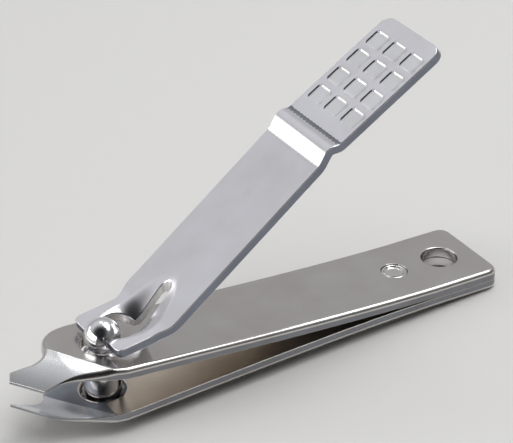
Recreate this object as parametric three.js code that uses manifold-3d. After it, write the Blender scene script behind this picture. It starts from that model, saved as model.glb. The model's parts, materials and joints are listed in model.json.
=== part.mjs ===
// A lever nail clipper with slanted jaws: two sprung arms riveted at the heel, a ball-headed pin
// through both arms, and a pressed lever whose fork is held under the ball.
//
// Every piece is drawn in the arm frame, in millimetres: x = 0 is the heel's rear edge, the jaws are
// towards -x, y = 0 is the middle of the arms, z = 0 is the upper arm's top face at the heel, and
// the arms are mirror images about the mid plane. Two groups then lay the clipper on its back: it
// stands on the heel's lower edge and the pin's bottom head, with the origin under its middle.

import * as THREE from 'three';
import { mergeVertices } from 'three/addons/utils/BufferGeometryUtils.js';
import Module from 'manifold-3d';

const wasm = await Module();
wasm.setup();

// ---- driving dimensions -------------------------------------------------------------------------

const ARM_WIDTH = 16;
const ARM_THICKNESS = 1.65;
const ARM_GAP = 0.2;                    // between the two arms where they lie together
const MID_Z = -(ARM_THICKNESS + ARM_GAP / 2);
const HEEL_CORNER = 2;
const SPREAD_START = -12;               // forward of this x the arms spread apart
const SPREAD = [0.01413, 0.001113, -7.7e-6];   // rise of one arm: linear, square and cubic terms
const SPREAD_END = -76;                 // forward of this x the arm's own curve stays level

const LANYARD_X = -6.5;
const LANYARD_RADIUS = 3.05;
const RIVET_X = -15.35;
const RIVET_SHANK = 1.6;
const RIVET_END = 2.2;
const RIVET_FLANGE = 0.5;               // thickness of the rivet's flanged ends
const RIVET_DISH = 0.25;
const CLEARANCE = 0.3;

const PIN_X = -68.8;
const PIN_RADIUS = 2.9;
const BALL_RADIUS = 2.86;
const BALL_Z = 4.6;
const NECK_RADIUS = 2.1;
const TANG_HALF = 1.9;                  // half of what is left between the pin's two side grooves
const GROOVE_BOTTOM = 2.8;
const GROOVE_TOP = 6.1;
const PIN_HEAD_RADIUS = 4.6;
const PIN_HEAD_TOP = -7.1;
const PIN_HEAD_THICKNESS = 1.2;
const UPPER_HOLE = 3.5;
const LOWER_HOLE = 3.65;

const CREASE_ANGLE = THREE.MathUtils.degToRad(32.65);
const CREASE_X = -75.26;                // where the crease crosses the middle of the arm
const JAW_DEPTH = 6.48;                 // from the crease to the cutting edge, square to the crease
const EDGE_THICKNESS = 0.45;
const GRIND_POWER = 1.8;                // how fast the hollow-ground face thins the jaw
const BEND_START = 1.5;
const BEND = 0.066;

const LEVER_HALF = 7.25;
const FORK_HALF = 6.15;
const LEVER_THICKNESS = 1.45;
const HINGE_Z = 4.6;                    // the lever turns here, in the pin's grooves
const FORK_TIP = -0.6;                  // fork tip, along x from the pin's axis
const FORK_GAP = 2.2;
const FORK_CORNER = 1.2;
const FORK_LENGTH = [6.2, 9.6];         // along the lever: the fork widens between these
const PAD_CORNER = 2;
const OPENING = { x: 2.9, radius: 3.45 };
const SLOT = { half: 1.1, end: 11.9 };
const DISH = { x: 5.5, long: 7.4, wide: 4.5, depth: 2.9, power: 1.6 };
const UNDERSIDE = -0.85;                // the lever's underside stays above this, from the hinge
const POCKET = { rows: 4, columns: 3, rowPitch: 4.15, columnPitch: 4.6, first: 4.5, along: 2.7,
  across: 3.2, corner: 0.5, depth: 0.25 };

// The lever's top face seen from the side: straight runs, each with its slope, and the radius of
// the bend that follows it.
const LEVER_RUNS = [
  { length: 7.17, slope: 9.1, bend: 7 },
  { length: 34.4, slope: 38.54, bend: 1.6 },
  { length: 3.3, slope: 59, bend: 2 },
  { length: 2.1, slope: 1, bend: 1.2 },
  { length: 21.4, slope: 32.6, bend: 0 },
];

// ---- solids -------------------------------------------------------------------------------------

function toSolid(geometry) {
  const bare = geometry.index ? geometry.toNonIndexed() : geometry.clone();
  for (const name of Object.keys(bare.attributes)) {
    if (name !== 'position') bare.deleteAttribute(name);
  }
  const merged = mergeVertices(bare, 1e-5);
  return new wasm.Manifold(new wasm.Mesh({
    numProp: 3,
    vertProperties: new Float32Array(merged.attributes.position.array),
    triVerts: new Uint32Array(merged.index.array),
  }));
}

function toGeometry(solid) {
  const mesh = solid.getMesh();
  const geometry = new THREE.BufferGeometry();
  geometry.setAttribute('position', new THREE.BufferAttribute(mesh.vertProperties, 3));
  geometry.setIndex(new THREE.BufferAttribute(mesh.triVerts, 1));
  geometry.computeVertexNormals();
  return geometry;
}

function subtractAll(solid, cutters) {
  return cutters.reduce((rest, cutter) => rest.subtract(cutter), solid);
}

// A closed plate between two grids of points, each [row][column].
function plateGeometry(top, bottom) {
  const rows = top.length;
  const columns = top[0].length;
  const points = [...top.flat(), ...bottom.flat()];
  const at = (layer, row, column) => layer * rows * columns + row * columns + column;
  const index = [];
  const quad = (a, b, c, d) => index.push(a, b, c, a, c, d);
  for (let row = 0; row < rows - 1; row += 1) {
    for (let column = 0; column < columns - 1; column += 1) {
      quad(at(0, row, column), at(0, row + 1, column),
        at(0, row + 1, column + 1), at(0, row, column + 1));
      quad(at(1, row, column), at(1, row, column + 1),
        at(1, row + 1, column + 1), at(1, row + 1, column));
    }
  }
  for (let row = 0; row < rows - 1; row += 1) {
    const last = columns - 1;
    quad(at(0, row, 0), at(1, row, 0), at(1, row + 1, 0), at(0, row + 1, 0));
    quad(at(0, row, last), at(0, row + 1, last), at(1, row + 1, last), at(1, row, last));
  }
  for (let column = 0; column < columns - 1; column += 1) {
    const last = rows - 1;
    quad(at(0, 0, column), at(0, 0, column + 1), at(1, 0, column + 1), at(1, 0, column));
    quad(at(0, last, column), at(1, last, column), at(1, last, column + 1), at(0, last, column + 1));
  }
  const geometry = new THREE.BufferGeometry();
  geometry.setAttribute('position', new THREE.Float32BufferAttribute(
    points.flatMap((p) => [p.x, p.y, p.z]), 3));
  geometry.setIndex(index);
  return geometry;
}

// A solid plate from the two grids, whichever way round their rows and columns run.
function plateSolid(top, bottom) {
  const solid = toSolid(plateGeometry(top, bottom));
  return solid.volume() > 0 ? solid : toSolid(plateGeometry(bottom, top));
}

function prism(shape, bottom, top, segments = 24) {
  const geometry = new THREE.ExtrudeGeometry(shape, {
    depth: top - bottom, bevelEnabled: false, curveSegments: segments });
  return geometry.translate(0, 0, bottom);
}

function cylinder(x, radius, bottom, top, sides = 48) {
  const geometry = new THREE.CylinderGeometry(radius, radius, top - bottom, sides);
  return geometry.rotateX(Math.PI / 2).translate(x, 0, (top + bottom) / 2);
}

function turned(profile, x, sides) {
  const points = profile.map(([radius, z]) => new THREE.Vector2(radius, z));
  return new THREE.LatheGeometry(points, sides).rotateX(Math.PI / 2).translate(x, 0, 0);
}

function roundedRectangle(x, y, long, wide, corner) {
  const left = x - long / 2;
  const low = y - wide / 2;
  const shape = new THREE.Shape();
  shape.moveTo(left + corner, low);
  shape.lineTo(left + long - corner, low);
  shape.absarc(left + long - corner, low + corner, corner, -Math.PI / 2, 0);
  shape.lineTo(left + long, low + wide - corner);
  shape.absarc(left + long - corner, low + wide - corner, corner, 0, Math.PI / 2);
  shape.lineTo(left + corner, low + wide);
  shape.absarc(left + corner, low + wide - corner, corner, Math.PI / 2, Math.PI);
  shape.lineTo(left, low + corner);
  shape.absarc(left + corner, low + corner, corner, Math.PI, 1.5 * Math.PI);
  return shape;
}

// ---- the arms -----------------------------------------------------------------------------------

// How far one arm has risen from the mid plane's direction at x.
function armRise(x) {
  const s = Math.max(0, SPREAD_START - Math.max(x, SPREAD_END));
  return SPREAD[0] * s + SPREAD[1] * s * s + SPREAD[2] * s * s * s;
}

// Distance forward of the crease, square to it.
function pastCrease(x, y) {
  return (CREASE_X - x) * Math.cos(CREASE_ANGLE) - y * Math.sin(CREASE_ANGLE);
}

function armTopZ(x, y) {
  const bottom = armBottomZ(x, y);
  const s = THREE.MathUtils.clamp(pastCrease(x, y), 0, JAW_DEPTH);
  const ground = (ARM_THICKNESS - EDGE_THICKNESS) * (1 - (1 - s / JAW_DEPTH) ** GRIND_POWER);
  return bottom + ARM_THICKNESS - ground;
}

function armBottomZ(x, y) {
  const s = Math.max(0, pastCrease(x, y) - BEND_START);
  return armRise(x) - ARM_THICKNESS - BEND * s * s;
}

// Outline of one side from the heel to the cutting edge. The far side has the square shoulder and
// the small chamfer, the near side runs in on a long slant.
function armSide(far) {
  const sign = far ? 1 : -1;
  const half = ARM_WIDTH / 2;
  const path = new THREE.Path();
  path.moveTo(0, sign * (half - HEEL_CORNER));
  path.quadraticCurveTo(0, sign * half, -HEEL_CORNER, sign * half);
  if (far) {
    path.lineTo(-70.3, half);
    path.bezierCurveTo(-73.6, half, -76.1, 6.6, -76.9, 4.3);
    path.bezierCurveTo(-77.6, 2.3, -78.1, 1.5, -80, 1.6);
    path.lineTo(-83.26, 2.5);
    path.lineTo(-83.86, 1.4);
  } else {
    path.lineTo(-68.6, -half);
    path.bezierCurveTo(-73, -7.3, -76.4, -4.3, -80.5, -3.83);
  }
  return path;
}

// The point of a side's outline where measure(x, y) first reaches a value.
function crossing(points, measure, value) {
  const next = points.findIndex((p) => measure(p) >= value);
  if (next < 0) return points[points.length - 1].clone();
  if (next === 0) return points[0].clone();
  const a = points[next - 1];
  const b = points[next];
  const t = (value - measure(a)) / (measure(b) - measure(a));
  return a.clone().lerp(b, t);
}

// Pairs of outline points that run across the arm: square to it at the heel, along the crease at
// the jaw.
function armStations() {
  const near = armSide(false).getPoints(24);
  const far = armSide(true).getPoints(24);
  const forward = (p) => -p.x;
  const past = (p) => pastCrease(p.x, p.y);
  const creaseNear = crossing(near, past, 0);
  const creaseFar = crossing(far, past, 0);
  const pairs = [];
  const fanStart = 58;
  for (const x of [0, 0.12, 0.5, 1.1, 2, 12, 17, 22, 27, 32, 37, 42, 47, 52, fanStart]) {
    pairs.push([crossing(near, forward, x), crossing(far, forward, x)]);
  }
  const fan = 8;
  for (let i = 1; i < fan; i += 1) {
    const t = i / fan;
    const nearX = THREE.MathUtils.lerp(fanStart, -creaseNear.x, t);
    const farX = THREE.MathUtils.lerp(fanStart, -creaseFar.x, t);
    pairs.push([crossing(near, forward, nearX), crossing(far, forward, farX)]);
  }
  const steps = 12;
  for (let i = 0; i <= steps; i += 1) {
    const s = JAW_DEPTH * i / steps;
    pairs.push([crossing(near, past, s), crossing(far, past, s)]);
  }
  return pairs;
}

function armPlate() {
  const columns = 6;
  const top = [];
  const bottom = [];
  for (const [near, far] of armStations()) {
    const across = [];
    for (let i = 0; i <= columns; i += 1) across.push(near.clone().lerp(far, i / columns));
    top.push(across.map((p) => new THREE.Vector3(p.x, p.y, armTopZ(p.x, p.y))));
    bottom.push(across.map((p) => new THREE.Vector3(p.x, p.y, armBottomZ(p.x, p.y))));
  }
  return plateSolid(top, bottom);
}

// Half of a round stepped solid about the rivet's axis, grown by a clearance for its hole.
function steppedProfile(grow) {
  const top = grow;
  const bottom = 2 * MID_Z - grow;
  const step = RIVET_FLANGE + 2 * grow;
  return { top, bottom, end: RIVET_END + grow, shank: RIVET_SHANK + grow, step };
}

function rivetHole() {
  const p = steppedProfile(CLEARANCE);
  return toSolid(turned([[0, p.bottom], [p.end, p.bottom], [p.end, p.bottom + p.step],
    [p.shank, p.bottom + p.step], [p.shank, p.top - p.step], [p.end, p.top - p.step],
    [p.end, p.top], [0, p.top]], RIVET_X, 32));
}

function upperArm(pinHole) {
  return subtractAll(armPlate(), [
    toSolid(cylinder(LANYARD_X, LANYARD_RADIUS, -10, 10)),
    toSolid(cylinder(PIN_X, pinHole, -10, 10)),
    rivetHole(),
  ]);
}

// The lower arm is the upper one turned over about the mid plane, with its own pin hole.
function lowerArm() {
  const mirror = new THREE.Matrix4().makeScale(1, 1, -1).setPosition(0, 0, 2 * MID_Z);
  return upperArm(LOWER_HOLE).transform(mirror.elements);
}

function rearRivet() {
  const p = steppedProfile(0);
  const rim = p.end * 0.86;
  const dish = p.end * 0.7;
  const chamfer = 0.1;
  return toSolid(turned([[0, p.bottom + RIVET_DISH], [dish, p.bottom + RIVET_DISH],
    [rim, p.bottom], [p.end, p.bottom + chamfer], [p.end, p.bottom + p.step],
    [p.shank, p.bottom + p.step], [p.shank, p.top - p.step], [p.end, p.top - p.step],
    [p.end, p.top - chamfer], [rim, p.top], [dish, p.top - RIVET_DISH],
    [0, p.top - RIVET_DISH]], RIVET_X, 32));
}

// ---- the pin ------------------------------------------------------------------------------------

function pin() {
  const headBottom = PIN_HEAD_TOP - PIN_HEAD_THICKNESS;
  const profile = [[0, headBottom], [PIN_HEAD_RADIUS - 0.9, headBottom],
    [PIN_HEAD_RADIUS - 0.25, headBottom + 0.3], [PIN_HEAD_RADIUS, headBottom + 0.8],
    [PIN_HEAD_RADIUS, PIN_HEAD_TOP], [PIN_RADIUS, PIN_HEAD_TOP], [PIN_RADIUS, 1.8],
    [NECK_RADIUS, 2.4]];
  const start = Math.asin(NECK_RADIUS / BALL_RADIUS);
  const steps = 14;
  for (let i = 0; i <= steps; i += 1) {
    const a = THREE.MathUtils.lerp(start, Math.PI, i / steps);
    const radius = i === steps ? 0 : BALL_RADIUS * Math.sin(a);
    profile.push([radius, BALL_Z - BALL_RADIUS * Math.cos(a)]);
  }
  const grooves = [-1, 1].map((side) => {
    const box = new THREE.BoxGeometry(10, 4, GROOVE_TOP - GROOVE_BOTTOM);
    box.translate(PIN_X, side * (TANG_HALF + 2), (GROOVE_TOP + GROOVE_BOTTOM) / 2);
    return toSolid(box);
  });
  return subtractAll(toSolid(turned(profile, PIN_X, 48)), grooves);
}

// ---- the lever ----------------------------------------------------------------------------------

// Points along the lever's top face in the x-z plane, x from the pin's axis, with the slope and
// the length run so far at each.
function leverLine() {
  const turn = (a, b) => THREE.MathUtils.degToRad(b.slope - a.slope);
  const setback = LEVER_RUNS.map((run, i) => (i < LEVER_RUNS.length - 1
    ? run.bend * Math.tan(Math.abs(turn(run, LEVER_RUNS[i + 1])) / 2) : 0));
  const first = THREE.MathUtils.degToRad(LEVER_RUNS[0].slope);
  const rise = LEVER_THICKNESS / 2 / Math.cos(first);
  const at = new THREE.Vector2(FORK_TIP, HINGE_Z + rise + FORK_TIP * Math.tan(first));
  const line = [];
  let run = 0;
  const add = (slope) => line.push({ x: at.x, z: at.y, slope, run });
  const forward = (slope, length) => {
    at.x += length * Math.cos(slope);
    at.y += length * Math.sin(slope);
    run += length;
  };
  LEVER_RUNS.forEach((part, i) => {
    const slope = THREE.MathUtils.degToRad(part.slope);
    const straight = part.length - setback[i] - (i > 0 ? setback[i - 1] : 0);
    const pieces = Math.ceil(straight / 1.2);
    for (let k = 0; k < pieces; k += 1) {
      add(slope);
      forward(slope, straight / pieces);
    }
    if (i < LEVER_RUNS.length - 1) {
      const angle = turn(part, LEVER_RUNS[i + 1]);
      const bends = 6;
      for (let k = 0; k < bends; k += 1) {
        add(slope + angle * k / bends);
        forward(slope + angle * (k + 0.5) / bends, Math.abs(angle) * part.bend / bends);
      }
    } else {
      add(slope);
    }
  });
  return line;
}

function leverHalfWidth(run, length) {
  const [start, end] = FORK_LENGTH;
  const t = THREE.MathUtils.smoothstep(run, start, end);
  const body = THREE.MathUtils.lerp(FORK_HALF, LEVER_HALF, t);
  const corner = (distance, radius) => (distance < radius
    ? radius - Math.sqrt(Math.max(0, radius * radius - (radius - distance) ** 2)) : 0);
  return body - corner(run, FORK_CORNER) - corner(length - run, PAD_CORNER);
}

// Depth of the boat-shaped dish that the slot is pressed into.
function dishDepth(x, y) {
  const across = Math.hypot((x - DISH.x) / DISH.long, y / DISH.wide);
  return DISH.depth * Math.max(0, 1 - across) ** DISH.power;
}

// The line's points with extra ones inside the rounded corners at each end.
function leverStations() {
  const line = leverLine();
  const length = line[line.length - 1].run;
  const runs = new Set(line.map((p) => p.run));
  for (const part of [0.03, 0.12, 0.3, 0.6, 1]) {
    runs.add(FORK_CORNER * part);
    runs.add(length - PAD_CORNER * part);
  }
  return [...runs].sort((a, b) => a - b).map((run) => {
    const next = Math.max(1, line.findIndex((p) => p.run >= run));
    const [a, b] = [line[next - 1], line[next]];
    const t = (run - a.run) / (b.run - a.run);
    const mix = (key) => THREE.MathUtils.lerp(a[key], b[key], t);
    return { x: mix('x'), z: mix('z'), slope: mix('slope'), run, length };
  });
}

function leverPlate() {
  const columns = 20;
  const top = [];
  const bottom = [];
  for (const station of leverStations()) {
    const normal = new THREE.Vector3(-Math.sin(station.slope), 0, Math.cos(station.slope));
    const half = leverHalfWidth(station.run, station.length);
    const topRow = [];
    const bottomRow = [];
    for (let i = 0; i <= columns; i += 1) {
      const y = THREE.MathUtils.lerp(-half, half, i / columns);
      const point = new THREE.Vector3(PIN_X + station.x, y, station.z);
      point.addScaledVector(normal, -dishDepth(station.x, y));
      topRow.push(point);
      const under = point.clone().addScaledVector(normal, -LEVER_THICKNESS);
      under.z = Math.max(under.z, HINGE_Z + UNDERSIDE);
      bottomRow.push(under);
    }
    top.push(topRow);
    bottom.push(bottomRow);
  }
  return plateSolid(top, bottom);
}

// The fork's mouth, the round opening behind the ball and the slot, cut along the pin's axis.
function forkCutters() {
  const mouth = new THREE.BoxGeometry(OPENING.x + 3, 2 * FORK_GAP, 20);
  mouth.translate(PIN_X + (OPENING.x - 3) / 2, 0, HINGE_Z);
  const opening = cylinder(PIN_X + OPENING.x, OPENING.radius, -4, 14);
  const slotLength = SLOT.end - OPENING.x;
  const slot = new THREE.BoxGeometry(slotLength - SLOT.half, 2 * SLOT.half, 40);
  slot.translate(PIN_X + OPENING.x + (slotLength - SLOT.half) / 2, 0, 10);
  const slotEnd = cylinder(PIN_X + SLOT.end - SLOT.half, SLOT.half, -10, 30, 24);
  return [mouth, opening, slot, slotEnd].map(toSolid);
}

// The thumb pad's rounded pockets, in rows and columns.
function pocketCutters() {
  const line = leverLine();
  const padLength = LEVER_RUNS[LEVER_RUNS.length - 1].length;
  const end = line[line.length - 1];
  const cutters = [];
  for (let row = 0; row < POCKET.rows; row += 1) {
    const along = POCKET.first + row * POCKET.rowPitch - padLength;
    for (let column = 0; column < POCKET.columns; column += 1) {
      const across = (column - (POCKET.columns - 1) / 2) * POCKET.columnPitch;
      const shape = roundedRectangle(along, across, POCKET.along, POCKET.across, POCKET.corner);
      const pocket = prism(shape, -POCKET.depth, 1, 4);
      pocket.rotateY(-end.slope).translate(PIN_X + end.x, 0, end.z);
      cutters.push(toSolid(pocket));
    }
  }
  return cutters;
}

function lever() {
  return subtractAll(leverPlate(), [...forkCutters(), ...pocketCutters()]);
}

// ---- assembly -----------------------------------------------------------------------------------

function steel(color, roughness) {
  return new THREE.MeshStandardMaterial({ color, roughness, metalness: 1 });
}

function piece(name, solid, material) {
  const mesh = new THREE.Mesh(toGeometry(solid), material);
  mesh.name = name;
  return mesh;
}

// The floor touches the heel's lower rear edge and the rear edge of the pin's bottom head.
function restingTilt() {
  const drop = 2 * MID_Z - (PIN_HEAD_TOP - PIN_HEAD_THICKNESS);
  return Math.atan2(drop, -PIN_X - (PIN_HEAD_RADIUS - 0.9));
}

const armFrame = new THREE.Group();
armFrame.add(piece('upper_arm', upperArm(UPPER_HOLE), steel(0x9a9894, 0.32)));
armFrame.add(piece('lower_arm', lowerArm(), steel(0x9a9894, 0.32)));
armFrame.add(piece('rear_rivet', rearRivet(), steel(0xb4b4b4, 0.25)));
armFrame.add(piece('pin', pin(), steel(0xc8c8cc, 0.08)));
armFrame.add(piece('lever', lever(), steel(0xb6b6bc, 0.22)));
armFrame.rotation.y = restingTilt();

const clipper = new THREE.Group();
clipper.add(armFrame);
clipper.updateMatrixWorld(true);
const bounds = new THREE.Box3().setFromObject(clipper, true);
armFrame.position.set(-(bounds.min.x + bounds.max.x) / 2, 0, -bounds.min.z);

export default clipper;
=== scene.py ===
"""A lever nail clipper with slanted jaws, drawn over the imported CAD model.

Every piece is built in the arm frame, in millimetres: x = 0 is the heel's rear edge, the jaws are
towards -x, y = 0 is the middle of the arms, z = 0 is the upper arm's top face at the heel, and the
two arms mirror each other about the mid plane. to_row() turns that into the row frame, in metres.
"""
import json
import math

import bpy
import numpy as np
from mathutils import Matrix, Vector
from mathutils.geometry import delaunay_2d_cdt


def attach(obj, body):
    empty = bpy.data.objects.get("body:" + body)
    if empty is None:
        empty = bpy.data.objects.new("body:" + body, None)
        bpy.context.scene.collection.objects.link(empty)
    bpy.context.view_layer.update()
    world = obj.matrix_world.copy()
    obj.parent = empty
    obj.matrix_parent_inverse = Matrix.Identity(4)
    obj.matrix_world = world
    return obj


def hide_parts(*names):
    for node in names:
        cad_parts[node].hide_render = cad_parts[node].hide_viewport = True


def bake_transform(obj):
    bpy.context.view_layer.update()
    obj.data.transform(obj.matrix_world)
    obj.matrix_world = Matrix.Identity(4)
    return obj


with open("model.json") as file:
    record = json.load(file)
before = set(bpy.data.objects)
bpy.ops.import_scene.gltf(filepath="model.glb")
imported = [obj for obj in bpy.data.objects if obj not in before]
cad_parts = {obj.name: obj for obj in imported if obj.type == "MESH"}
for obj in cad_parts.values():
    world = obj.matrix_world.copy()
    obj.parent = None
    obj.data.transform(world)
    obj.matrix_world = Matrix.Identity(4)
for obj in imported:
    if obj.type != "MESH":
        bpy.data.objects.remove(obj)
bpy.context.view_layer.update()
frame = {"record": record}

# ---- driving dimensions, in millimetres -----------------------------------------------------------

# the arms
ARM_HALF = 8.0
ARM_THICKNESS = 1.72
MID_Z = -1.75                      # the mid plane between the arms
HEEL_CORNER = 2.0
SPREAD_START = -12.0
SPREAD = (0.01413, 0.001113, -7.7e-6)   # rise per mm, mm squared and mm cubed
SPREAD_END = -76.0
EDGE_ROUND = 0.75
INNER_ROUND = 0.1

LANYARD_X = -6.5
LANYARD_RADIUS = 2.95
RIVET_X = -15.35
RIVET_RADIUS = 2.15
PIN_X = -68.8
UPPER_HOLE = 3.5
LOWER_HOLE = 3.55
HOLE_POINTS = 72
RIVET_SEAM = 0.03                  # how much wider than the rivet its hole is
# edge radii outside and inside: lanyard hole, rivet hole, pin hole
OUTER_HOLE_ROUNDS = (0.28, 0.1, 0.2)
INNER_HOLE_ROUNDS = (0.1, 0.05)
UPPER_CHAMFER = 0.1
LOWER_CHAMFER = 0.4

# the jaws
CREASE_ANGLE = math.radians(32.65)
CREASE_X = -75.26
CREASE_ROUND = 0.12
JAW_DEPTH = 6.48
JAW_LAND = 0.45
GRIND_POWER = 1.8
BEND_START = 1.5
BEND = 0.066
KEEN_ROUNDS = (0.05, 0.04)         # edge radii at the cutting edge, outside and inside
KEEN_RANGE = (2.0, 5.8)            # where the edges change to that, forward of the crease
GROUND_X = PIN_X - 1.6             # in front of this the insides are ground

# the lever
LEVER_HALF = 7.25
FORK_HALF = 6.15
LEVER_THICKNESS = 1.45
LEVER_ROUND = 0.13
SHEAR_ROUND = 0.16
UNDER_ROUND = 0.12
HINGE_Z = 4.6
FORK_TIP = -0.6
FORK_GAP = 2.2
FORK_CORNER = 1.2
FORK_LENGTH = (6.2, 9.6)
PAD_CORNER = 2.0
OPENING_X = 2.9
OPENING_RADIUS = 3.45
SLOT_HALF = 1.1
SLOT_END = 11.9
DISH_X = 5.5
DISH_LONG = 7.4
DISH_WIDE = 4.5
DISH_DEPTH = 3.0
DISH_POWER = 1.6
FAR_PRONG = 1.2                    # how much further the far prong reaches than the near one
UNDERSIDE = -0.85                  # the fork's lowest place, from the hinge
# length, slope in degrees and following bend radius of each straight run of the lever's top face
LEVER_RUNS = ((7.17, 9.1, 7.0), (34.4, 38.54, 1.6), (3.3, 59.0, 2.0), (2.1, 1.0, 1.2),
              (21.4, 32.6, 0.0))
PAD_CREASE = 0.28                  # half the width of the painted shade line along the crease where the pad starts
POCKET_ROWS = 4
POCKET_COLUMNS = 3
POCKET_ROW_PITCH = 4.15
POCKET_COLUMN_PITCH = 4.6
POCKET_FIRST = 4.5
POCKET_ALONG = 2.9
POCKET_ACROSS = 3.2
POCKET_CORNER = 0.5
POCKET_DEPTH = 0.25
POCKET_WALL = 0.13

# the pin
PIN_RADIUS = 2.9
BALL_RADIUS = 2.86
BALL_Z = 4.6
NECK_RADIUS = 2.1
TANG_HALF = 1.9
GROOVE = (2.8, 5.85)
PIN_HEAD_RADIUS = 4.6
PIN_HEAD_TOP = -7.1
PIN_HEAD_BOTTOM = -8.3
PIN_HEAD_ROUND = 0.9
PIN_HEAD_CHAMFER = 0.1
PIN_ROOT = 0.2
SHOULDER = (1.8, 2.4)              # the height where the shank narrows to the neck

# the rivet
RIVET_SUNK = 0.04
RIVET_DISH = 0.3
RIVET_FLOOR = 1.2
RIVET_RIM = 1.9
RIM_ROUND = 0.2
RIM_RISE = 0.14

# the camera in the arm frame
CAMERA_AZIMUTH = math.radians(-31.975)
CAMERA_ELEVATION = math.radians(29.627)
CAMERA_ROLL = math.radians(0.911)
CAMERA_DISTANCE = 390.55
CAMERA_TARGET = Vector((-41.685, 0, 16.69))
CAMERA_LENS = 178.61

DARK_CARD = (-0.47, -0.42, 0.776)  # the direction of the dark wall that the lever's dish mirrors
FLOOR_HALF = 3.0                   # metres


# ---- the frame ------------------------------------------------------------------------------------

def arm_frame():
    """The matrix from the arm frame in millimetres to the row frame in metres."""
    joints = {joint["name"]: joint for joint in frame["record"]["behaviour"]["joints"]}
    spin = joints["pin_spin"]
    tilt = math.atan2(spin["axis"][0], spin["axis"][2])
    turn = Matrix.Rotation(tilt, 4, "Y") @ Matrix.Scale(0.001, 4)
    foot = turn @ Vector((PIN_X, 0, 0))
    return Matrix.Translation(Vector(spin["pos_m"]) - foot) @ turn


ARM_TO_ROW = arm_frame()


def to_row(points):
    """Arm-frame points as row-frame points."""
    matrix = np.array(ARM_TO_ROW)
    return np.asarray(points) @ matrix[:3, :3].T + matrix[:3, 3]


# ---- mesh helpers ---------------------------------------------------------------------------------

def unit(vectors):
    return vectors / np.maximum(np.linalg.norm(vectors, axis=-1, keepdims=True), 1e-12)


def smooth(value, low, high):
    t = np.clip((value - low) / (high - low), 0, 1)
    return t * t * (3 - 2 * t)


def line(a, b, step):
    """Points from a up to, but not including, b."""
    a, b = np.asarray(a, float), np.asarray(b, float)
    count = max(1, int(math.ceil(np.linalg.norm(b - a) / step)))
    return a + (b - a) * (np.arange(count) / count)[:, None]


def bezier(points, count):
    """A cubic curve's points, without the last one."""
    t = (np.arange(count) / count)[:, None]
    a, b, c, d = (np.asarray(p, float) for p in points)
    return (1 - t) ** 3 * a + 3 * t * (1 - t) ** 2 * b + 3 * t * t * (1 - t) * c + t ** 3 * d


def arc(centre, radius, start, end, count):
    """Points on a circle from one angle to another, in degrees, without the last one."""
    angles = np.radians(start + (end - start) * np.arange(count) / count)
    return np.stack([centre[0] + radius * np.cos(angles), centre[1] + radius * np.sin(angles)], 1)


def left_of(loop):
    """The unit direction to the left of a closed loop at each point, which is into the metal."""
    ahead = unit(np.roll(loop, -1, 0) - loop)
    behind = unit(loop - np.roll(loop, 1, 0))
    along = unit(ahead + behind)
    return np.stack([-along[:, 1], along[:, 0]], 1)


def inside(points, loops):
    """Which points lie in the metal, by counting the loops' crossings."""
    odd = np.zeros(len(points), bool)
    for loop in loops:
        x1, y1 = loop[:, 0], loop[:, 1]
        x2, y2 = np.roll(x1, -1), np.roll(y1, -1)
        px, py = points[:, :1], points[:, 1:]
        spans = (y1 > py) != (y2 > py)
        with np.errstate(divide="ignore", invalid="ignore"):
            cross = (x2 - x1) * (py - y1) / (y2 - y1) + x1
        odd ^= (np.sum(spans & (px < cross), 1) % 2).astype(bool)
    return odd


def surface_normals(height, plan):
    """Upward normals of z = height(x, y) at plan points."""
    h = 0.02
    x, y = plan[:, 0], plan[:, 1]
    dx = (height(x + h, y) - height(x - h, y)) / (2 * h)
    dy = (height(x, y + h) - height(x, y - h)) / (2 * h)
    return unit(np.stack([-dx, -dy, np.ones(len(plan))], 1))


class Shell:
    """A closed plate under construction: points, their normals, and faces with material numbers."""

    def __init__(self):
        self.points = []
        self.normals = []
        self.faces = []
        self.materials = []

    def add(self, points, normals):
        first = len(self.points)
        self.points.extend(points)
        self.normals.extend(normals)
        return np.arange(first, first + len(points))

    def face(self, indices, material):
        self.faces.append(tuple(int(i) for i in indices))
        self.materials.append(material)

    def strip(self, ring_a, ring_b, material, flip):
        """Quads between two closed rings of the same length."""
        for i in range(len(ring_a)):
            k = (i + 1) % len(ring_a)
            quad = (ring_a[i], ring_a[k], ring_b[k], ring_b[i])
            self.face(quad[::-1] if flip else quad, material)


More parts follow.
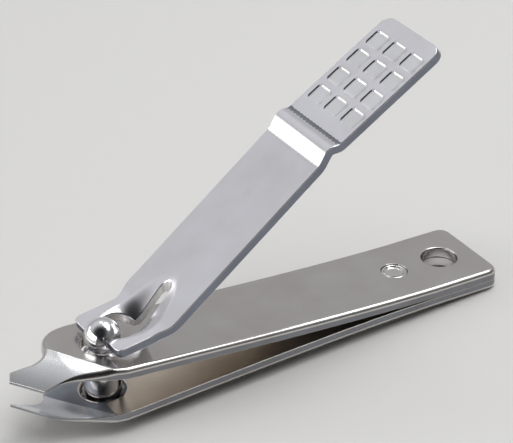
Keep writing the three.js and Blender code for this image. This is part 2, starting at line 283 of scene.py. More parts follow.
def plate_side(shell, loops, rounds, height, side, fill, fixed, pick):
    """One face of a plate, with its rounded edges. side is 1 for the top and -1 for the bottom.

    rounds holds the edge radius at every point of each loop, fill the loose points of the face,
    fixed its further closed rings, and pick gives a face's material number from its middle.
    Returns the rings that the walls are joined to.
    """
    steps = 4
    walls = []
    inner = []
    inner_index = []
    for loop, radius in zip(loops, rounds):
        left = left_of(loop)
        previous = None
        for step in range(steps + 1):
            angle = math.pi / 2 * step / steps
            plan = loop + left * (radius * (1 - math.cos(angle)))[:, None]
            z = height(plan[:, 0], plan[:, 1]) - side * radius * (1 - math.sin(angle))
            flat = surface_normals(height, plan) * side
            out = np.stack([-left[:, 0], -left[:, 1], np.zeros(len(loop))], 1)
            normals = unit(out * math.cos(angle) + flat * math.sin(angle))
            ring = shell.add(np.column_stack([plan, z]), normals)
            if previous is None:
                walls.append(ring)
            else:
                shell.strip(previous, ring, FACE, side < 0)
            previous = ring
        inner.append(plan)
        inner_index.append(previous)

    boundary = np.concatenate(inner)
    loose = fill[inside(fill, inner)]
    gap = np.array([np.min(np.sum((boundary - p) ** 2, 1)) for p in loose])
    loose = loose[gap > 0.09]
    rings = [ring for ring in fixed if inside(ring, inner).all()]
    for ring in rings:
        gap = np.array([np.min(np.sum((ring - p) ** 2, 1)) for p in loose])
        loose = loose[gap > 0.01]
    extra = np.concatenate([*rings, loose]) if rings else loose
    z = height(extra[:, 0], extra[:, 1])
    extra_index = shell.add(np.column_stack([extra, z]), surface_normals(height, extra) * side)

    coords = np.concatenate([boundary, extra])
    index = np.concatenate([*inner_index, extra_index])
    edges = []
    start = 0
    for ring in [*inner, *rings]:
        count = len(ring)
        edges += [(start + i, start + (i + 1) % count) for i in range(count)]
        start += count
    result = delaunay_2d_cdt([Vector(p) for p in coords], edges, [], 0, 1e-5)
    places, triangles, origins = result[0], result[2], result[3]
    places = np.array([tuple(p) for p in places])
    triangles = np.array(triangles)
    middles = places[triangles].mean(1)
    keep = inside(middles, inner)
    kind = pick(middles[:, 0], middles[:, 1])
    for triangle, material in zip(triangles[keep], kind[keep]):
        corner = [index[origins[v][0]] for v in triangle]
        shell.face(corner if side > 0 else corner[::-1], int(material))
    return walls


def finish_mesh(name, points, faces, materials, slots, normals=None):
    """A Blender object from arm-frame data, smooth, with exact normals where they are given."""
    mesh = bpy.data.meshes.new(name)
    mesh.from_pydata(to_row(points).tolist(), [], faces)
    for material in slots:
        mesh.materials.append(material)
    mesh.polygons.foreach_set("material_index", np.array(materials, np.int32))
    mesh.polygons.foreach_set("use_smooth", np.ones(len(faces), bool))
    mesh.update()
    if normals is not None:
        turned = unit(np.asarray(normals) @ np.array(ARM_TO_ROW)[:3, :3].T)
        mesh.normals_split_custom_set_from_vertices(turned.tolist())
    piece = bpy.data.objects.new(name, mesh)
    bpy.context.scene.collection.objects.link(piece)
    return piece


def grid(xs, ys):
    """Loose points on a grid whose every other row is shifted by half a step."""
    rows = []
    for i, x in enumerate(xs):
        shift = (ys[1] - ys[0]) / 2 * (i % 2)
        rows.append(np.stack([np.full(len(ys), x), ys + shift], 1))
    return np.concatenate(rows)


# ---- materials ------------------------------------------------------------------------------------

def steel(name, color, roughness, grain=0.3, mottle=0.05, stretch=(1, 1, 1), grain_size=0.18):
    """Plated steel: a fine grain in the bump, a soft mottle in the colour and the roughness."""
    material = bpy.data.materials.new(name)
    material.use_nodes = True
    nodes, links = material.node_tree.nodes, material.node_tree.links
    shader = nodes["Principled BSDF"]
    shader.inputs["Metallic"].default_value = 1.0
    place = nodes.new("ShaderNodeTexCoord")
    mapping = nodes.new("ShaderNodeMapping")
    mapping.inputs["Scale"].default_value = stretch
    links.new(place.outputs["Object"], mapping.inputs["Vector"])

    cloud = nodes.new("ShaderNodeTexNoise")
    cloud.inputs["Scale"].default_value = 140.0
    cloud.inputs["Detail"].default_value = 5.0
    links.new(mapping.outputs["Vector"], cloud.inputs["Vector"])
    fine = nodes.new("ShaderNodeTexNoise")
    fine.inputs["Scale"].default_value = 1000.0 / grain_size
    fine.inputs["Detail"].default_value = 3.0
    links.new(mapping.outputs["Vector"], fine.inputs["Vector"])

    ramp = nodes.new("ShaderNodeValToRGB")
    low = [max(0.0, c * (1 - mottle) - 0.01) for c in color]
    high = [min(1.0, c * (1 + mottle)) for c in color]
    ramp.color_ramp.elements[0].position = 0.3
    ramp.color_ramp.elements[0].color = (low[0] * 1.02, low[1], low[2] * 0.98, 1)
    ramp.color_ramp.elements[1].position = 0.7
    ramp.color_ramp.elements[1].color = (high[0], high[1], high[2], 1)
    links.new(cloud.outputs["Fac"], ramp.inputs["Fac"])
    links.new(ramp.outputs["Color"], shader.inputs["Base Color"])

    rough = nodes.new("ShaderNodeMapRange")
    rough.inputs["To Min"].default_value = roughness * 0.8
    rough.inputs["To Max"].default_value = roughness * 1.25
    links.new(fine.outputs["Fac"], rough.inputs["Value"])
    links.new(rough.outputs["Result"], shader.inputs["Roughness"])

    bump = nodes.new("ShaderNodeBump")
    bump.inputs["Strength"].default_value = grain
    bump.inputs["Distance"].default_value = 0.00001
    links.new(fine.outputs["Fac"], bump.inputs["Height"])
    links.new(bump.outputs["Normal"], shader.inputs["Normal"])
    return material


ARM_STEEL = steel("arm_steel", (0.6, 0.585, 0.57), 0.2)
JAW_STEEL = steel("jaw_steel", (0.78, 0.79, 0.8), 0.26, grain=0.06)
INNER_STEEL = steel("inner_steel", (0.72, 0.68, 0.635), 0.24, grain=0.6, mottle=0.08)
GROUND_STEEL = steel("ground_steel", (0.27, 0.29, 0.33), 0.34, grain=1.4, mottle=0.2)
BLADE_STEEL = steel("blade_steel", (0.64, 0.66, 0.7), 0.24, grain=0.5)
LAND_STEEL = steel("land_steel", (0.3, 0.3, 0.32), 0.3, grain=0.8)
# Painted shade: a dark steel for the arms' outer side walls.
ARM_WALL_SHADE = steel("arm_wall_painted_shade", (0.245, 0.25, 0.27), 0.3, grain=0.9, mottle=0.1)
HOLE_WALL = steel("hole_wall_steel", (0.72, 0.71, 0.72), 0.18, grain=0.8, stretch=(1, 1, 0.12))
RIVET_STEEL = steel("rivet_steel", (0.72, 0.72, 0.71), 0.14, grain=0.5)
PIN_STEEL = steel("pin_steel", (0.8, 0.8, 0.82), 0.13, grain=0.06, mottle=0.02)
LEVER_STEEL = steel("lever_steel", (0.835, 0.83, 0.875), 0.2)
# Painted shade: a dark steel for the lever's outer side walls.
LEVER_WALL_SHADE = steel("lever_wall_painted_shade", (0.22, 0.235, 0.28), 0.3, grain=0.9, mottle=0.1)
POCKET_STEEL = steel("pocket_steel", (0.86, 0.87, 0.89), 0.34, grain=1.6)
# Painted shade: a dark steel for the pockets' far walls and the line along the pad's crease.
PAINTED_SHADE_STEEL = steel("painted_shade_steel", (0.22, 0.23, 0.26), 0.34, grain=1.4, mottle=0.2)
# A rough, bright steel for the slot's sheared walls, also used as a painted highlight on the pockets'
# rear walls.
SHEARED_AND_HIGHLIGHT_STEEL = steel("sheared_and_highlight_steel", (0.9, 0.89, 0.87), 0.38, grain=1.0, mottle=0.14,
                      stretch=(1, 1, 0.3), grain_size=0.5)

ARM_SLOTS = [ARM_STEEL, ARM_WALL_SHADE, JAW_STEEL, HOLE_WALL, LAND_STEEL, INNER_STEEL, GROUND_STEEL,
             BLADE_STEEL]
FACE, SHADED_WALL, JAW, HOLE, LAND, INSIDE, GROUND, BLADE = range(8)
LEVER_SLOTS = [LEVER_STEEL, LEVER_WALL_SHADE, SHEARED_AND_HIGHLIGHT_STEEL, POCKET_STEEL, PAINTED_SHADE_STEEL]
SHEARED_AND_HIGHLIGHT, POCKET, PAINTED_SHADE = range(2, 5)


# ---- the arms -------------------------------------------------------------------------------------

def arm_rise(x):
    """How far the arm has spread from the mid plane."""
    s = np.maximum(0, SPREAD_START - np.maximum(x, SPREAD_END))
    return SPREAD[0] * s + SPREAD[1] * s * s + SPREAD[2] * s ** 3


def past_crease(x, y):
    """Distance forward of the crease, square to it."""
    return (CREASE_X - x) * math.cos(CREASE_ANGLE) - y * math.sin(CREASE_ANGLE)


def arm_bottom(x, y):
    """The inner face, which the jaw bends down from the crease forwards."""
    s = np.maximum(0, past_crease(x, y) - BEND_START)
    return arm_rise(x) - ARM_THICKNESS - BEND * s * s


def arm_top(x, y):
    """The outer face, ground away towards the cutting edge."""
    s = np.clip(past_crease(x, y), 0, JAW_DEPTH)
    ground = (ARM_THICKNESS - JAW_LAND) * (1 - (1 - s / JAW_DEPTH) ** GRIND_POWER)
    return arm_bottom(x, y) + ARM_THICKNESS - ground


def arm_outline():
    """The arm's outline, far side first, from the heel round the jaw and back."""
    half, corner = ARM_HALF, HEEL_CORNER
    return np.concatenate([
        arc((-corner, half - corner), corner, 0, 90, 14),
        line((-corner, half), (-70.3, half), 0.9),
        bezier(((-70.3, half), (-73.6, half), (-76.1, 6.6), (-76.9, 4.3)), 22),
        bezier(((-76.9, 4.3), (-77.6, 2.3), (-78.1, 1.5), (-80, 1.6)), 16),
        line((-80, 1.6), (-83.26, 2.5), 0.3),
        line((-83.26, 2.5), (-83.86, 1.4), 0.25),
        line((-83.86, 1.4), (-80.5, -3.83), 0.25),
        bezier(((-80.5, -3.83), (-76.4, -4.3), (-73, -7.3), (-68.6, -half)), 36),
        line((-68.6, -half), (-corner, -half), 0.9),
        arc((-corner, -half + corner), corner, 270, 360, 14),
        line((0, -half + corner), (0, half - corner), 0.7),
    ])


def hole(x, radius):
    """A hole's edge, run clockwise so that the metal is on its left."""
    return arc((x, 0), radius, 360, 0, HOLE_POINTS)


def arm_fill():
    """Loose points: wide-spaced along the arm, close at the jaw, and two lines at the crease."""
    body = grid(np.arange(-66, 0, 1.4), np.arange(-7.6, 7.7, 1.27))
    jaw = grid(np.arange(-84, -66, 0.45), np.arange(-7.7, 7.7, 0.45))
    jaw = jaw[np.abs(past_crease(jaw[:, 0], jaw[:, 1])) > 0.3]
    lines = []
    for s in (-CREASE_ROUND, 0, CREASE_ROUND):
        t = np.arange(-9, 9.5, 0.4)
        x = CREASE_X - s * math.cos(CREASE_ANGLE) - t * math.sin(CREASE_ANGLE)
        y = -s * math.sin(CREASE_ANGLE) + t * math.cos(CREASE_ANGLE)
        lines.append(np.stack([x, y], 1))
    return np.concatenate([body, jaw, *lines])


def outer_material(x, y):
    return np.where(past_crease(x, y) > 0, JAW, FACE)


def inner_material(x, y):
    return np.where(past_crease(x, y) > 0, BLADE, np.where(x < GROUND_X, GROUND, INSIDE))


def arm_shell(pin_hole, chamfer):
    """An arm in the upper arm's place, with a pin hole of its own and that hole's inner edge."""
    outline = arm_outline()
    loops = [outline, hole(LANYARD_X, LANYARD_RADIUS), hole(RIVET_X, RIVET_RADIUS + RIVET_SEAM),
             hole(PIN_X, pin_hole)]
    keen = smooth(past_crease(outline[:, 0], outline[:, 1]), *KEEN_RANGE)
    outer = [EDGE_ROUND + (KEEN_ROUNDS[0] - EDGE_ROUND) * keen]
    outer += [np.full(HOLE_POINTS, radius) for radius in OUTER_HOLE_ROUNDS]
    inner = [INNER_ROUND + (KEEN_ROUNDS[1] - INNER_ROUND) * keen]
    inner += [np.full(HOLE_POINTS, radius) for radius in (*INNER_HOLE_ROUNDS, chamfer)]
    shell = Shell()
    fill = arm_fill()
    top = plate_side(shell, loops, outer, arm_top, 1, fill, [], outer_material)
    bottom = plate_side(shell, loops, inner, arm_bottom, -1, fill, [], inner_material)
    for number, (a, b) in enumerate(zip(top, bottom)):
        # The outer wall takes the dark steel of painted shade, the holes' walls their own steel.
        shell.strip(b, a, SHADED_WALL if number == 0 else HOLE, False)
    for i, face in enumerate(shell.faces):
        if shell.materials[i] == SHADED_WALL:
            middle = np.mean([shell.points[v] for v in face], 0)
            if past_crease(middle[0], middle[1]) > JAW_DEPTH - 0.3:
                shell.materials[i] = LAND
    return shell


def upper_arm():
    """The upper arm, baked into the row frame and attached to no body."""
    shell = arm_shell(UPPER_HOLE, UPPER_CHAMFER)
    piece = finish_mesh("upper_arm_plate", shell.points, shell.faces, shell.materials, ARM_SLOTS,
                        shell.normals)
    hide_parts("upper_arm")
    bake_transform(piece)
    return piece


def lower_arm():
    """The upper arm's shape turned over about the mid plane."""
    shell = arm_shell(LOWER_HOLE, LOWER_CHAMFER)
    points = np.array(shell.points) * (1, 1, -1) + (0, 0, 2 * MID_Z)
    normals = np.array(shell.normals) * (1, 1, -1)
    faces = [face[::-1] for face in shell.faces]
    piece = finish_mesh("lower_arm_plate", points, faces, shell.materials, ARM_SLOTS, normals)
    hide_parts("lower_arm")
    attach(piece, "lower")
    return piece


# ---- turned pieces --------------------------------------------------------------------------------

def turned(name, profile, x, sides, material):
    """A closed solid of revolution from a profile of (radius, z) that starts and ends on its axis."""
    points = [(x, 0, profile[0][1])]
    faces = []
    angles = np.arange(sides) * 2 * math.pi / sides
    for radius, z in profile[1:-1]:
        points += [(x + radius * math.cos(a), radius * math.sin(a), z) for a in angles]
    points.append((x, 0, profile[-1][1]))
    last = len(points) - 1
    rings = len(profile) - 2
    for i in range(sides):
        k = (i + 1) % sides
        faces.append((0, 1 + k, 1 + i))
        for ring in range(rings - 1):
            a, b = 1 + ring * sides, 1 + (ring + 1) * sides
            faces.append((a + i, a + k, b + k, b + i))
        top = 1 + (rings - 1) * sides
        faces.append((top + i, top + k, last))
    return finish_mesh(name, points, faces, [0] * len(faces), [material])


def sharpen(piece, degrees):
    """Keeps edges steeper than an angle sharp."""
    mesh = piece.data
    mesh.shade_smooth()
    mesh.set_sharp_from_angle(angle=math.radians(degrees))


def rivet():
    """Both ends are dished, with a rolled rim that stands in the arm's hole."""
    top, bottom = -RIVET_SUNK, 2 * MID_Z + RIVET_SUNK
    dished = [(RIVET_FLOOR * t, -RIVET_DISH) for t in np.linspace(0, 1, 4)]
    dished += [(RIVET_FLOOR + 0.52 * t, -RIVET_DISH * (1 - t * t)) for t in np.linspace(0.2, 1, 6)]
    rim = [(RIVET_RIM + RIM_ROUND * math.sin(a), RIM_RISE * (math.cos(a) - 1))
           for a in np.linspace(-0.8, 1.57, 8)]
    half = [(r, top + z) for r, z in dished + rim] + [(RIVET_RADIUS, top - RIVET_DISH)]
    other = [(r, bottom + top - z) for r, z in half]
    piece = turned("rear_rivet_body", other + half[::-1], RIVET_X, 64, RIVET_STEEL)
    sharpen(piece, 50)
    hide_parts("rear_rivet")
    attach(piece, "lower")
    return piece


def cut_groove(piece, side):
    """Cuts the fork's groove in one side of the pin."""
    low, high = GROOVE
    corners = [(PIN_X + sx * 6, side * (TANG_HALF if sy < 0 else 8), low if sz < 0 else high)
               for sx in (-1, 1) for sy in (-1, 1) for sz in (-1, 1)]
    faces = [(0, 1, 3, 2), (4, 6, 7, 5), (0, 4, 5, 1), (2, 3, 7, 6), (0, 2, 6, 4), (1, 5, 7, 3)]
    if side < 0:
        faces = [face[::-1] for face in faces]
    cutter = finish_mesh("groove_cutter", corners, faces, [0] * 6, [PIN_STEEL])
    cut = piece.modifiers.new("groove", "BOOLEAN")
    cut.operation = "DIFFERENCE"
    cut.object = cutter
    cut.solver = "EXACT"
    state = bpy.context.evaluated_depsgraph_get()
    solved = bpy.data.meshes.new_from_object(piece.evaluated_get(state))
    piece.modifiers.clear()
    piece.data = solved
    bpy.data.objects.remove(cutter)


def pin():
    """Bottom head, shank, neck and ball, with the fork's two grooves cut in."""
    edge = [(PIN_HEAD_RADIUS - PIN_HEAD_ROUND * (1 - math.sin(a)),
             PIN_HEAD_BOTTOM + PIN_HEAD_ROUND * (1 - math.cos(a)))
            for a in np.linspace(0, math.pi / 2, 9)]
    profile = [(0, PIN_HEAD_BOTTOM), *edge,
               (PIN_HEAD_RADIUS, PIN_HEAD_TOP - PIN_HEAD_CHAMFER),
               (PIN_HEAD_RADIUS - PIN_HEAD_CHAMFER, PIN_HEAD_TOP),
               (PIN_RADIUS + PIN_ROOT, PIN_HEAD_TOP), (PIN_RADIUS, PIN_HEAD_TOP + PIN_ROOT),
               (PIN_RADIUS, -3), (PIN_RADIUS, SHOULDER[0]), (NECK_RADIUS, SHOULDER[1])]
    start = math.asin(NECK_RADIUS / BALL_RADIUS)
    for a in np.linspace(start, math.pi, 56)[:-1]:
        profile.append((BALL_RADIUS * math.sin(a), BALL_Z - BALL_RADIUS * math.cos(a)))
    profile.append((0, BALL_Z + BALL_RADIUS))
    piece = turned("ball_pin", profile, PIN_X, 144, PIN_STEEL)
    for side in (-1, 1):
        cut_groove(piece, side)
    sharpen(piece, 30)
    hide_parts("pin")
    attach(piece, "pin")
    return piece


# ---- the lever ------------------------------------------------------------------------------------

def lever_line():
    """The top face from the side: x from the pin's axis, z, slope and length run, closely spaced."""
    slopes = [math.radians(run[1]) for run in LEVER_RUNS]
    setback = [LEVER_RUNS[i][2] * math.tan(abs(slopes[i + 1] - slopes[i]) / 2)
               for i in range(len(slopes) - 1)]
    x, run = FORK_TIP, 0.0
    z = HINGE_Z + LEVER_THICKNESS / 2 / math.cos(slopes[0]) + FORK_TIP * math.tan(slopes[0])
    rows = []
    for i, (length, _, radius) in enumerate(LEVER_RUNS):
        straight = length - sum(setback[max(0, i - 1):i + 1])
        pieces = [(slopes[i], slopes[i], straight / 20)] * 20
        if i < len(setback):
            turn = slopes[i + 1] - slopes[i]
            pieces += [(slopes[i] + turn * k / 40, slopes[i] + turn * (k + 0.5) / 40,
                        abs(turn) * radius / 40) for k in range(40)]
        for slope, heading, step in pieces:
            rows.append((x, z, slope, run))
            x += step * math.cos(heading)
            z += step * math.sin(heading)
            run += step
    rows.append((x, z, slopes[-1], run))
    return np.array(rows)


LINE = lever_line()
LENGTH = LINE[-1, 3]
PAD_START = LENGTH - LEVER_RUNS[-1][0]


def carried_on(x, table_x, table_z):
    """Linear interpolation that runs straight on past both ends."""
    z = np.interp(x, table_x, table_z)
    first = (table_z[1] - table_z[0]) / (table_x[1] - table_x[0])
    last = (table_z[-1] - table_z[-2]) / (table_x[-1] - table_x[-2])
    z = np.where(x < table_x[0], table_z[0] + (x - table_x[0]) * first, z)
    return np.where(x > table_x[-1], table_z[-1] + (x - table_x[-1]) * last, z)


def dish(x, y):
    """Depth of the boat-shaped dish that the slot is pressed into."""
    across = np.hypot((x - PIN_X - DISH_X) / DISH_LONG, y / DISH_WIDE)
    return DISH_DEPTH * np.maximum(0, 1 - across) ** DISH_POWER


def pocket_middles():
    rows = []
    for row in range(POCKET_ROWS):
        run = PAD_START + POCKET_FIRST + row * POCKET_ROW_PITCH
        for column in range(POCKET_COLUMNS):
            rows.append((run, (column - (POCKET_COLUMNS - 1) / 2) * POCKET_COLUMN_PITCH))
    return rows


def pocket_away(along, across):
    """How far a place is outside a pocket's edge, or inside it where the number is negative."""
    a = np.abs(along) - (POCKET_ALONG / 2 - POCKET_CORNER)
    b = np.abs(across) - (POCKET_ACROSS / 2 - POCKET_CORNER)
    return (np.hypot(np.maximum(a, 0), np.maximum(b, 0)) + np.minimum(np.maximum(a, b), 0)
            - POCKET_CORNER)


def pocket_depth(x, y):
    run = carried_on(x - PIN_X, LINE[:, 0], LINE[:, 3])
    depth = np.zeros(np.shape(x))
    for middle_run, middle_y in pocket_middles():
        away = pocket_away(run - middle_run, y - middle_y)
        depth += POCKET_DEPTH * (1 - smooth(away, -POCKET_WALL / 2, POCKET_WALL / 2))
    return depth


def lever_top(x, y):
    return carried_on(x - PIN_X, LINE[:, 0], LINE[:, 1]) - dish(x, y) - pocket_depth(x, y)


# the underside's line
UNDER_X = LINE[:, 0] + LEVER_THICKNESS * np.sin(LINE[:, 2])
UNDER_Z = LINE[:, 1] - LEVER_THICKNESS * np.cos(LINE[:, 2])


def lever_bottom(x, y):
    """The underside, kept level under the fork, where it clears the arm."""
    z = carried_on(x - PIN_X, UNDER_X, UNDER_Z) - dish(x, y)
    return np.maximum(z, HINGE_Z + UNDERSIDE)


def lever_half(run):
    """Half the lever's width, which grows from the fork to the long flat."""
    return FORK_HALF + (LEVER_HALF - FORK_HALF) * smooth(run, *FORK_LENGTH)


def lever_outline():
    """The top face's outline in plan, with a flag where the wall is cut straight down."""
    def plan(run, y):
        return np.stack([PIN_X + np.interp(run, LINE[:, 3], LINE[:, 0]), y + 0 * run], 1)

    def corner(at, radius, start, inwards, side):
        angles = np.radians(np.linspace(start, start + 90, 10, endpoint=False))
        half = lever_half(np.array([at]))[0]
        run = at + inwards * radius + radius * np.cos(angles)
        return plan(run, side * (half - radius) + radius * np.sin(angles))

    runs = np.arange(FORK_CORNER, LENGTH - PAD_CORNER, 0.45)
    far = plan(runs[::-1], lever_half(runs[::-1]))
    near = plan(runs, -lever_half(runs))
    tip_y = np.arange(FORK_HALF - FORK_CORNER, FORK_GAP + 0.3, -0.4)
    far_tip = plan(np.zeros(len(tip_y)), tip_y)
    near_tip = plan(np.zeros(len(tip_y)), -tip_y[::-1])
    end_y = np.arange(-LEVER_HALF + PAD_CORNER, LEVER_HALF - PAD_CORNER, 0.6)
    end = plan(np.full(len(end_y), LENGTH), end_y)

    centre = PIN_X + OPENING_X
    mouth_angle = math.degrees(math.asin(FORK_GAP / OPENING_RADIUS))
    slot_angle = math.degrees(math.asin(SLOT_HALF / OPENING_RADIUS))
    mouth_x = centre - OPENING_RADIUS * math.cos(math.radians(mouth_angle))
    slot_x = centre + OPENING_RADIUS * math.cos(math.radians(slot_angle))
    tip_x = PIN_X + FORK_TIP
    inner = [
        line((tip_x, FORK_GAP), (mouth_x, FORK_GAP), 0.3),
        arc((centre, 0), OPENING_RADIUS, 180 - mouth_angle, slot_angle, 34),
        line((slot_x, SLOT_HALF), (PIN_X + SLOT_END - SLOT_HALF, SLOT_HALF), 0.3),
        arc((PIN_X + SLOT_END - SLOT_HALF, 0), SLOT_HALF, 90, -90, 16),
        line((PIN_X + SLOT_END - SLOT_HALF, -SLOT_HALF), (slot_x, -SLOT_HALF), 0.3),
        arc((centre, 0), OPENING_RADIUS, -slot_angle, -(180 - mouth_angle), 34),
        line((mouth_x, -FORK_GAP), (tip_x, -FORK_GAP), 0.3),
        [(tip_x, -FORK_GAP)],
    ]
    inner = np.concatenate(inner)
    outer_a = np.concatenate([corner(LENGTH, PAD_CORNER, 0, -1, 1), far,
                              corner(0, FORK_CORNER, 90, 1, 1), far_tip])
    outer_b = np.concatenate([near_tip, corner(0, FORK_CORNER, 180, 1, -1), near,
                              corner(LENGTH, PAD_CORNER, 270, -1, -1), end])
    loop = np.concatenate([outer_a, inner, outer_b])
    straight = np.zeros(len(loop), bool)
    straight[len(outer_a):len(outer_a) + len(inner)] = True
    forward = 1 - smooth(loop[:, 0] - PIN_X, FORK_TIP, OPENING_X + 1)
    loop[:, 0] -= FAR_PRONG * forward * (loop[:, 1] > 0)
    apart = np.linalg.norm(loop - np.roll(loop, 1, 0), axis=1) > 0.05
    return loop[apart], straight[apart]


def pocket_rings():
    """Closed rings that follow the pockets' walls, so that the face is cut along them."""
    rings = []
    for run, y in pocket_middles():
        for offset in (-0.5, -0.2, 0.2, 0.5):
            grow = POCKET_WALL * offset * 1.1
            radius = POCKET_CORNER + grow
            ring = []
            for number, (sx, sy) in enumerate(((1, 1), (-1, 1), (-1, -1), (1, -1))):
                centre = (run + sx * (POCKET_ALONG / 2 - POCKET_CORNER),
                          y + sy * (POCKET_ACROSS / 2 - POCKET_CORNER))
                start = number * 90
                ring.append(arc(centre, radius, start, start + 90, 6))
                ring.append(arc(centre, radius, start + 90, start + 90.1, 1))
            ring = np.concatenate(ring)
            ring[:, 0] = PIN_X + np.interp(ring[:, 0], LINE[:, 3], LINE[:, 0])
            rings.append(ring)
    return rings


def lever_material(x, y):
    """The pad's crease line and the pockets' far walls are painted shade, their rear walls a painted
    highlight, and their floors have a steel of their own.
    """
    run = carried_on(x - PIN_X, LINE[:, 0], LINE[:, 3])
    # Painted shade along the crease where the pad starts.
    kind = np.where(np.abs(run - PAD_START) < PAD_CREASE, PAINTED_SHADE, FACE)
    for middle_run, middle_y in pocket_middles():
        along, across = run - middle_run, y - middle_y
        away = pocket_away(along, across)
        wall = np.abs(away) < POCKET_WALL / 2
        far = across > POCKET_ACROSS / 2 - POCKET_CORNER
        rear = along > POCKET_ALONG / 2 - POCKET_CORNER
        kind = np.where(away < -POCKET_WALL / 2, POCKET, kind)
        # A painted highlight on the pockets' rear walls.
        kind = np.where(wall & rear, SHEARED_AND_HIGHLIGHT, kind)
        # Painted shade on the pockets' far walls.
        kind = np.where(wall & far, PAINTED_SHADE, kind)
    return kind


def one_material(x, y):
    return np.full(len(x), FACE)


def lever_fill():
    """Loose points: in step with the bends along the lever, and close together round the dish."""
    rows = np.concatenate([np.arange(13.5, 36, 1.2), np.arange(36, 51, 0.3),
                           np.arange(51, LENGTH, 0.9), [PAD_START - PAD_CREASE - 0.01],
                           [PAD_START + PAD_CREASE + 0.01]])
    body = grid(PIN_X + np.interp(rows, LINE[:, 3], LINE[:, 0]), np.arange(-7, 7.1, 0.9))
    fork = grid(PIN_X + np.arange(-0.5, 12.5, 0.33), np.arange(-7, 7.1, 0.4))
    return np.concatenate([body, fork])


def lever():
    """The pressed plate: its walls stand square to it, but those of the slot are cut straight down."""
    loop, straight = lever_outline()
    slope = np.interp(loop[:, 0] - PIN_X, LINE[:, 0], LINE[:, 2])
    under = loop.copy()
    under[:, 0] += np.where(straight, 0, LEVER_THICKNESS * np.sin(slope))
    shell = Shell()
    fill = lever_fill()
    top_round = np.where(straight, SHEAR_ROUND, LEVER_ROUND)
    bottom_round = np.full(len(loop), UNDER_ROUND)
    top = plate_side(shell, [loop], [top_round], lever_top, 1, fill, pocket_rings(), lever_material)
    bottom = plate_side(shell, [under], [bottom_round], lever_bottom, -1, fill, [], one_material)
    walls = len(shell.faces)
    # The outer walls take the dark steel of painted shade; the slot's walls are given the sheared
    # steel below.
    shell.strip(bottom[0], top[0], SHADED_WALL, False)
    for i in range(len(loop)):
        if straight[i]:
            shell.materials[walls + i] = SHEARED_AND_HIGHLIGHT
    piece = finish_mesh("fork_lever", shell.points, shell.faces, shell.materials, LEVER_SLOTS,
                        shell.normals)
    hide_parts("lever")
    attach(piece, "lever")
    return piece


# ---- stage ----------------------------------------------------------------------------------------

def floor():
    material = bpy.data.materials.new("pale_floor")
    material.use_nodes = True
    shader = material.node_tree.nodes["Principled BSDF"]
    shader.inputs["Base Color"].default_value = (0.5, 0.495, 0.485, 1)
    shader.inputs["Roughness"].default_value = 0.9
    mesh = bpy.data.meshes.new("floor")
    corners = [(x * FLOOR_HALF, y * FLOOR_HALF, 0) for x, y in ((-1, -1), (1, -1), (1, 1), (-1, 1))]
    mesh.from_pydata(corners, [], [(0, 1, 2, 3)])
    mesh.materials.append(material)
    plane = bpy.data.objects.new("floor", mesh)
    bpy.context.scene.collection.objects.link(plane)


def area_light(name, azimuth, elevation, distance, size, power, shown=True):
    """A softbox that faces the clipper, seen from it at an azimuth from +X towards +Y.

    shown says whether the steel mirrors it.
    """
    light = bpy.data.lights.new(name, "AREA")
    light.shape = "RECTANGLE"
    light.size, light.size_y = size
    light.energy = power
    lamp = bpy.data.objects.new(name, light)
    lamp.visible_glossy = shown
    a, e = math.radians(azimuth), math.radians(elevation)
    place = Vector((math.cos(a) * math.cos(e), math.sin(a) * math.cos(e), math.sin(e))) * distance
    lamp.location = place
    lamp.rotation_euler = place.to_track_quat("Z", "Y").to_euler()
    bpy.context.scene.collection.objects.link(lamp)


def lights():
    bpy.context.scene.view_settings.view_transform = "Standard"
    studio_world()
    area_light("high_box", 6, 62, 0.8, (0.42, 0.36), 2.0)
    area_light("crease_box", 67, 57, 0.8, (0.14, 0.1), 0.2)
    area_light("riser_panel", 125, 22, 0.9, (0.3, 0.18), 0.22)
    area_light("left_panel", 169, 15, 0.9, (1.25, 0.42), 5.0)
    area_light("edge_box", -38, 53, 0.8, (0.26, 0.26), 0.3)
    area_light("fill", -60, 75, 1.0, (0.9, 0.9), 8.0, shown=False)


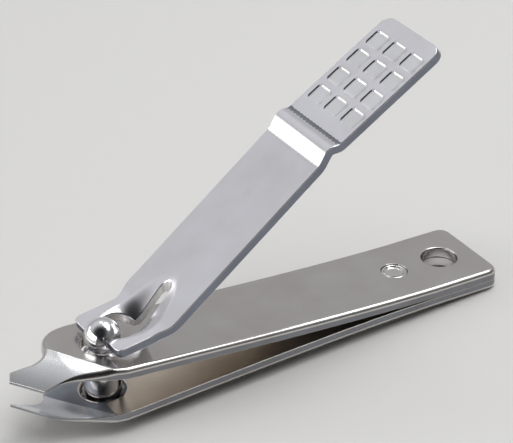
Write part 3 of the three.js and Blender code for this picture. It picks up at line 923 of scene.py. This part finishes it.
def studio_world():
    """Soft grey walls: dimmer towards -Y, and dark round DARK_CARD, which the dish mirrors."""
    world = bpy.data.worlds.new("studio")
    bpy.context.scene.world = world
    world.use_nodes = True
    nodes, links = world.node_tree.nodes, world.node_tree.links
    background = nodes["Background"]
    place = nodes.new("ShaderNodeTexCoord")
    split = nodes.new("ShaderNodeSeparateXYZ")
    links.new(place.outputs["Generated"], split.inputs["Vector"])
    height = nodes.new("ShaderNodeValToRGB")
    low, high = height.color_ramp.elements
    low.position, low.color = 0.47, (0.46, 0.46, 0.465, 1)
    high.position, high.color = 0.66, (0.66, 0.67, 0.69, 1)
    links.new(split.outputs["Z"], height.inputs["Fac"])
    towards = nodes.new("ShaderNodeVectorMath")
    towards.operation = "DOT_PRODUCT"
    towards.inputs[1].default_value = DARK_CARD
    links.new(place.outputs["Generated"], towards.inputs[0])

    def dimmer(value, start, end, least):
        node = nodes.new("ShaderNodeMapRange")
        node.interpolation_type = "SMOOTHSTEP"
        node.inputs["From Min"].default_value = start
        node.inputs["From Max"].default_value = end
        node.inputs["To Min"].default_value = 1.0
        node.inputs["To Max"].default_value = least
        links.new(value, node.inputs["Value"])
        return node.outputs["Result"]

    both = nodes.new("ShaderNodeMath")
    both.operation = "MULTIPLY"
    links.new(dimmer(split.outputs["Y"], 0.15, -0.3, 0.4), both.inputs[0])
    links.new(dimmer(towards.outputs["Value"], 0.5, 0.93, 0.08), both.inputs[1])
    links.new(height.outputs["Color"], background.inputs["Color"])
    links.new(both.outputs["Value"], background.inputs["Strength"])


def camera():
    """A long lens, placed and turned in the arm frame."""
    a, e, r = CAMERA_AZIMUTH, CAMERA_ELEVATION, CAMERA_ROLL
    back = Vector((math.sin(a) * math.cos(e), -math.cos(a) * math.cos(e), math.sin(e)))
    right = Vector((math.cos(a), math.sin(a), 0))
    up = back.cross(right)
    across = right * math.cos(r) + up * math.sin(r)
    upright = up * math.cos(r) - right * math.sin(r)
    turn = ARM_TO_ROW.to_3x3().normalized()
    pose = Matrix([turn @ across, turn @ upright, turn @ back]).transposed().to_4x4()
    pose.translation = ARM_TO_ROW @ (CAMERA_TARGET + back * CAMERA_DISTANCE)
    data = bpy.data.cameras.new("camera")
    data.sensor_width = 36.0
    data.sensor_fit = "HORIZONTAL"
    data.lens = CAMERA_LENS
    data.clip_start = 0.01
    eye = bpy.data.objects.new("camera", data)
    eye.matrix_world = pose
    bpy.context.scene.collection.objects.link(eye)
    bpy.context.scene.camera = eye


camera()
floor()
lights()
upper_arm()
lower_arm()
rivet()
pin()
lever()

bpy.context.view_layer.update()
